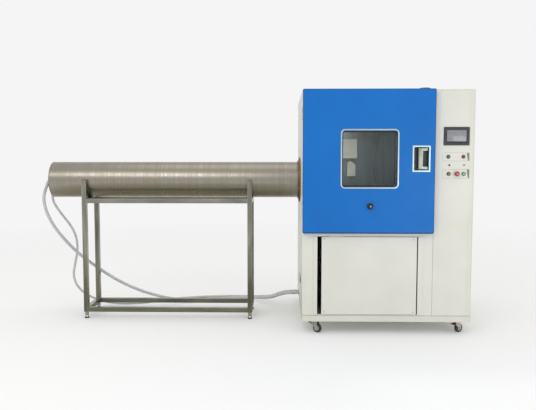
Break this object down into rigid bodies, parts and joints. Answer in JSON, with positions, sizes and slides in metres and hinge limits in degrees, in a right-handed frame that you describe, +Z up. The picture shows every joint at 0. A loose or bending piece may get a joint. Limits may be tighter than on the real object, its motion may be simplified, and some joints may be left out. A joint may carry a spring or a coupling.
{
  "type": "environmental test chamber",
  "caption": "Wheeled water jet test chamber with a windowed door, a control column and a long nozzle tube on its own stand, fed by hoses.",
  "frame": {"origin": "bottom centre of the bounding box of the cabinet, tube and stand, without the hoses", "axes": "+X to the right as seen from the door's front, +Y to the back, +Z up"},
  "size_m": [3.7449, 1.4552, 2.014],
  "materials": {
    "cabinet_paint": "light warm grey powder coat",
    "frame_paint": "light grey powder coat",
    "door_paint": "semi-gloss blue",
    "stainless": "fine brushed stainless steel",
    "liner_steel": "fine brushed stainless steel",
    "flange_steel": "dull stainless steel",
    "seal_rubber": "soft black rubber",
    "wiper_mix": "satin",
    "knob_plastic": "black moulded plastic",
    "trim_plastic": "light grey-blue trim",
    "glass": "clear glass with a grey cast",
    "recess_trim": "bright satin metal",
    "lever_metal": "cast and satin",
    "hose_grey": "light grey hose",
    "fitting_steel": "plated fitting",
    "screen_black": "dark grey bezel with a glass front",
    "lamp_plastic": "green and red domes",
    "bezel_metal": "bright ring",
    "red_plastic": "red",
    "green_plastic": "green, lit",
    "dark_red_plastic": "dark red",
    "hinge_steel": "plated steel",
    "caster_steel": "zinc plated",
    "wheel_plastic": "black nylon with a rubber tread",
    "pedal_plastic": "dark red moulded plastic",
    "pump_iron": "painted casting",
    "pipe_plastic": "grey pipe and valve bodies",
    "control_mix": "grey switchgear on a zinc plate",
    "socket_plastic": "light grey moulded plastic",
    "vent_plastic": "light grey moulded plastic",
    "drive_cast": "cast housing"
  },
  "bodies": {
    "cabinet": {"base_frame": "frame_paint", "left_side_panel": "cabinet_paint", "right_side_panel": "cabinet_paint", "top_cover": "cabinet_paint", "rear_panel": "cabinet_paint", "front_frame": "frame_paint", "column_panel": "cabinet_paint", "chamber_liner": "liner_steel", "touch_screen": "screen_black", "indicator_lamps": "lamp_plastic", "button_bezels": "bezel_metal", "control_box": "control_mix", "spray_tube": "stainless", "tube_flange": "flange_steel", "tube_end_plate": "stainless", "jet_nozzles": "fitting_steel", "stand_posts": "stainless", "stand_rails": "stainless", "stand_saddles": "seal_rubber", "stand_feet": "fitting_steel", "jet_hose_large": "hose_grey", "jet_hose_small": "hose_grey", "hose_ferrules": "fitting_steel", "hose_spigots": "fitting_steel", "hinge_leaves_fixed": "hinge_steel", "service_hinges": "hinge_steel", "turntable_drive": "drive_cast", "specimen_socket": "socket_plastic", "water_tank": "liner_steel", "booster_pump": "pump_iron", "pipework": "pipe_plastic", "rear_fittings": "fitting_steel", "roof_vent": "vent_plastic", "caster_plates": "caster_steel"},
    "door": {"door_skin": "door_paint", "door_inner_panel": "liner_steel", "door_seal": "seal_rubber", "window_frame": "trim_plastic", "window_glass": "glass", "handle_recess": "recess_trim", "hinge_leaves_door": "hinge_steel"},
    "handle": {"handle_lever": "lever_metal"},
    "wiper": {"wiper_knob": "knob_plastic", "wiper_arm": "wiper_mix"},
    "service_door": {"service_door": "frame_paint"},
    "turntable": {"turntable": "stainless"},
    "stop_button": {"stop_button": "dark_red_plastic"},
    "start_button": {"start_button": "green_plastic"},
    "estop_button": {"estop_button": "red_plastic"},
    "fork_front_left": {"caster_fork_front_left": "caster_steel"},
    "wheel_front_left": {"caster_wheel_front_left": "wheel_plastic"},
    "fork_front_right": {"caster_fork_front_right": "caster_steel"},
    "wheel_front_right": {"caster_wheel_front_right": "wheel_plastic"},
    "fork_rear_left": {"caster_fork_rear_left": "caster_steel"},
    "wheel_rear_left": {"caster_wheel_rear_left": "wheel_plastic"},
    "fork_rear_right": {"caster_fork_rear_right": "caster_steel"},
    "wheel_rear_right": {"caster_wheel_rear_right": "wheel_plastic"},
    "pedal_front_left": {"brake_pedal_front_left": "pedal_plastic"},
    "pedal_front_right": {"brake_pedal_front_right": "pedal_plastic"}
  },
  "joints": [
    {"name": "door_hinge", "type": "hinge", "parent": "cabinet", "child": "door", "pos_m": [0.4629, -0.65735, 0.99], "axis": [0, 0, -1], "range_deg": [0, 110]},
    {"name": "handle_pull", "type": "hinge", "parent": "door", "child": "handle", "pos_m": [1.4569, -0.68835, 1.338], "axis": [0, 0, 1], "range_deg": [0, 40], "stiffness_Nm_per_rad": 1.2},
    {"name": "wiper_turn", "type": "hinge", "parent": "door", "child": "wiper", "pos_m": [1.0099, -0.69935, 1.051], "axis": [0, -1, 0], "range_deg": [0, 160]},
    {"name": "service_door_hinge", "type": "hinge", "parent": "cabinet", "child": "service_door", "pos_m": [1.3889, -0.64235, 0.161], "axis": [0, 0, 1], "range_deg": [0, 100]},
    {"name": "turntable_spin", "type": "hinge", "parent": "cabinet", "child": "turntable", "pos_m": [0.9969, 0.00065, 0.905], "axis": [0, 0, 1], "continuous": true},
    {"name": "stop_press", "type": "slide", "parent": "cabinet", "child": "stop_button", "axis": [0, 1, 0], "range_m": [0, 0.004], "stiffness_N_per_m": 600},
    {"name": "start_press", "type": "slide", "parent": "cabinet", "child": "start_button", "axis": [0, 1, 0], "range_m": [0, 0.004], "stiffness_N_per_m": 600},
    {"name": "estop_press", "type": "slide", "parent": "cabinet", "child": "estop_button", "axis": [0, 1, 0], "range_m": [0, 0.005]},
    {"name": "swivel_front_left", "type": "hinge", "parent": "cabinet", "child": "fork_front_left", "pos_m": [0.5779, -0.58735, 0.102], "axis": [0, 0, 1], "continuous": true},
    {"name": "roll_front_left", "type": "hinge", "parent": "fork_front_left", "child": "wheel_front_left", "pos_m": [0.59997, -0.60459, 0.0375], "axis": [0.6157, 0.788, 0], "continuous": true},
    {"name": "brake_front_left", "type": "hinge", "parent": "fork_front_left", "child": "pedal_front_left", "pos_m": [0.56687, -0.57873, 0.07], "axis": [-0.6157, -0.788, 0], "range_deg": [0, 20]},
    {"name": "swivel_front_right", "type": "hinge", "parent": "cabinet", "child": "fork_front_right", "pos_m": [1.7439, -0.58735, 0.102], "axis": [0, 0, 1], "continuous": true},
    {"name": "roll_front_right", "type": "hinge", "parent": "fork_front_right", "child": "wheel_front_right", "pos_m": [1.76684, -0.57129, 0.0375], "axis": [-0.5736, 0.8192, 0], "continuous": true},
    {"name": "brake_front_right", "type": "hinge", "parent": "fork_front_right", "child": "pedal_front_right", "pos_m": [1.73243, -0.59538, 0.07], "axis": [0.5736, -0.8192, 0], "range_deg": [0, 20]},
    {"name": "swivel_rear_left", "type": "hinge", "parent": "cabinet", "child": "fork_rear_left", "pos_m": [0.5779, 0.62365, 0.102], "axis": [0, 0, 1], "continuous": true},
    {"name": "roll_rear_left", "type": "hinge", "parent": "fork_rear_left", "child": "wheel_rear_left", "pos_m": [0.60421, 0.63323, 0.0375], "axis": [-0.342, 0.9397, 0], "continuous": true},
    {"name": "swivel_rear_right", "type": "hinge", "parent": "cabinet", "child": "fork_rear_right", "pos_m": [1.7439, 0.62365, 0.102], "axis": [0, 0, 1], "continuous": true},
    {"name": "roll_rear_right", "type": "hinge", "parent": "fork_rear_right", "child": "wheel_rear_right", "pos_m": [1.77095, 0.6164, 0.0375], "axis": [0.2588, 0.9659, 0], "continuous": true}
  ]
}
